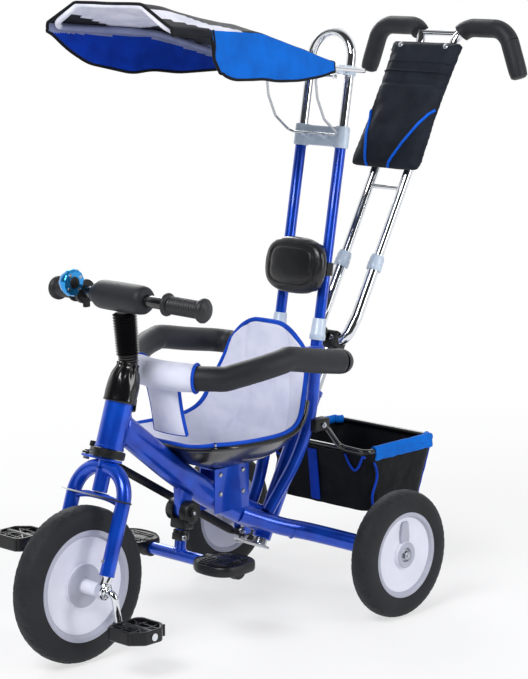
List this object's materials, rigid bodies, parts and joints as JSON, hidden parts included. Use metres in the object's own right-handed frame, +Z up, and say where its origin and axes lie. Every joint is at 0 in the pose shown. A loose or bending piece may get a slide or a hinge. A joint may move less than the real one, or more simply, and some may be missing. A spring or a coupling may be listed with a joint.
{
  "type": "tricycle",
  "caption": "Child's steel tricycle with foam tyres, padded seat and guard rail, tilting canopy, folding footrest, rear basket and a push handle that steers the front fork.",
  "frame": {"origin": "on the floor, under the middle of the bounding box's bottom face", "axes": "+Z up, front of the tricycle towards -Y, the rider's left towards +X"},
  "size_m": [0.466, 1.0382, 1.0431],
  "materials": {
    "blue_enamel": "gloss",
    "chrome_steel": "polished",
    "zinc_steel": "satin",
    "black_plastic": "matte",
    "gloss_black": "gloss",
    "grey_plastic": "satin",
    "black_foam": "matte",
    "tyre_foam": "matte",
    "rim_plastic": "satin",
    "liner_fabric": "matte",
    "black_cloth": "matte",
    "blue_cloth": "matte",
    "black_vinyl": "satin",
    "bell_blue": "gloss"
  },
  "bodies": {
    "frame": {"main_frame": "blue_enamel", "head_race": "black_plastic", "head_boot": "black_vinyl", "rear_pin_left": "zinc_steel", "rear_pin_right": "zinc_steel", "seat_pan": "black_vinyl", "seat_liner": "liner_fabric", "canopy_pole_left": "blue_enamel", "canopy_pole_right": "blue_enamel", "pole_sleeve_left": "grey_plastic", "pole_sleeve_right": "grey_plastic", "pole_clamp": "grey_plastic", "headrest_pad": "black_vinyl", "headrest_bracket": "black_plastic", "basket": "black_cloth", "basket_frame": "gloss_black"},
    "steering": {"fork": "blue_enamel", "fork_strap": "chrome_steel", "handlebar": "gloss_black", "handlebar_foam": "black_foam", "bar_grip_left": "black_plastic", "bar_grip_right": "black_plastic", "stem_bellows": "black_vinyl", "bell_base": "black_plastic"},
    "bell_dial": {"bell_dome": "bell_blue"},
    "lock_pin": {"lock_pin": "black_plastic"},
    "front_wheel": {"front_tyre": "tyre_foam", "front_rim": "rim_plastic", "crankshaft": "chrome_steel"},
    "pedal_left": {"pedal_left": "black_plastic"},
    "pedal_right": {"pedal_right": "black_plastic"},
    "rear_wheel_left": {"rear_tyre_left": "tyre_foam", "rear_rim_left": "rim_plastic"},
    "rear_wheel_right": {"rear_tyre_right": "tyre_foam", "rear_rim_right": "rim_plastic"},
    "brake_left": {"brake_pedal_left": "black_plastic"},
    "brake_right": {"brake_pedal_right": "black_plastic"},
    "steering_rod": {"steering_rod": "black_plastic"},
    "push_handle": {"handle_stem": "zinc_steel", "handle_yoke": "black_plastic", "handle_lower_tube": "chrome_steel", "handle_collar_left": "grey_plastic", "handle_collar_right": "grey_plastic"},
    "push_handle_upper": {"handle_upper_tubes": "chrome_steel", "handle_grip_left": "black_foam", "handle_grip_right": "black_foam", "handle_bag": "black_cloth"},
    "footrest": {"footrest_knuckle": "black_plastic", "footrest_tube": "blue_enamel", "foot_plate_left": "black_plastic", "foot_plate_right": "black_plastic"},
    "guard_rail": {"guard_rail_tube": "chrome_steel", "guard_rail_foam": "black_foam", "guard_cover": "liner_fabric"},
    "canopy_arch": {"canopy_arch": "chrome_steel", "arch_bracket": "grey_plastic"},
    "canopy": {"canopy_bow": "chrome_steel", "canopy_hood": "blue_cloth"},
    "canopy_stay": {"canopy_stay": "zinc_steel"}
  },
  "joints": [
    {"name": "steering", "type": "hinge", "parent": "frame", "child": "steering", "pos_m": [0, -0.32305, 0.3354], "axis": [0, 0.314, 0.9494], "range_deg": [-30, 30]},
    {"name": "front_wheel", "type": "hinge", "parent": "steering", "child": "front_wheel", "pos_m": [0, -0.39197, 0.127], "axis": [1, 0, 0], "continuous": true},
    {"name": "pedal_left", "type": "hinge", "parent": "front_wheel", "child": "pedal_left", "pos_m": [0.1265, -0.38242, 0.07284], "axis": [1, 0, 0], "continuous": true},
    {"name": "pedal_right", "type": "hinge", "parent": "front_wheel", "child": "pedal_right", "pos_m": [-0.1265, -0.40152, 0.18116], "axis": [1, 0, 0], "continuous": true},
    {"name": "rear_wheel_left", "type": "hinge", "parent": "frame", "child": "rear_wheel_left", "pos_m": [0.209, 0.14703, 0.109], "axis": [1, 0, 0], "continuous": true},
    {"name": "rear_wheel_right", "type": "hinge", "parent": "frame", "child": "rear_wheel_right", "pos_m": [-0.209, 0.14703, 0.109], "axis": [1, 0, 0], "continuous": true},
    {"name": "brake_left", "type": "hinge", "parent": "frame", "child": "brake_left", "pos_m": [0.155, 0.14303, 0.0815], "axis": [1, 0, 0], "range_deg": [0, 25]},
    {"name": "brake_right", "type": "hinge", "parent": "frame", "child": "brake_right", "pos_m": [-0.155, 0.14303, 0.0815], "axis": [1, 0, 0], "range_deg": [0, 25]},
    {"name": "push_handle", "type": "hinge", "parent": "frame", "child": "push_handle", "pos_m": [0, 0.02833, 0.12], "axis": [0, 0.4848, 0.8746], "range_deg": [-30, 30]},
    {"name": "push_handle_height", "type": "slide", "parent": "push_handle", "child": "push_handle_upper", "axis": [0, 0.4848, 0.8746], "range_m": [0, 0.045]},
    {"name": "steering_rod", "type": "hinge", "parent": "steering", "child": "steering_rod", "pos_m": [-0.047, -0.32698, 0.32353], "axis": [0, 0.314, 0.9494], "range_deg": [-30, 30]},
    {"name": "lock_pin", "type": "slide", "parent": "steering", "child": "lock_pin", "axis": [0, 0.314, 0.9494], "range_m": [0, 0.006], "stiffness_N_per_m": 200},
    {"name": "bell_dial", "type": "hinge", "parent": "steering", "child": "bell_dial", "pos_m": [-0.0975, -0.31173, 0.59262], "axis": [1, 0, 0], "range_deg": [-40, 40], "stiffness_Nm_per_rad": 0.02},
    {"name": "footrest", "type": "hinge", "parent": "frame", "child": "footrest", "pos_m": [0, -0.15897, 0.204], "axis": [1, 0, 0], "range_deg": [0, 55]},
    {"name": "guard_rail", "type": "hinge", "parent": "frame", "child": "guard_rail", "pos_m": [0, 0.08303, 0.44], "axis": [-1, 0, 0], "range_deg": [0, 60]},
    {"name": "canopy_height", "type": "slide", "parent": "frame", "child": "canopy_arch", "axis": [0, 0.1736, 0.9848], "range_m": [0, 0.07]},
    {"name": "canopy_tilt", "type": "hinge", "parent": "canopy_arch", "child": "canopy", "pos_m": [0, 0.18656, 0.91536], "axis": [-1, 0, 0], "range_deg": [0, 25]},
    {"name": "canopy_stay", "type": "hinge", "parent": "canopy", "child": "canopy_stay", "pos_m": [0, 0.10056, 0.91142], "axis": [1, 0, 0], "range_deg": [0, 25]}
  ],
  "couplings": [
    {"joint": "push_handle", "follows": "steering", "ratio": 1},
    {"joint": "steering_rod", "follows": "steering", "ratio": -1},
    {"joint": "canopy_stay", "follows": "canopy_tilt", "ratio": 1}
  ]
}
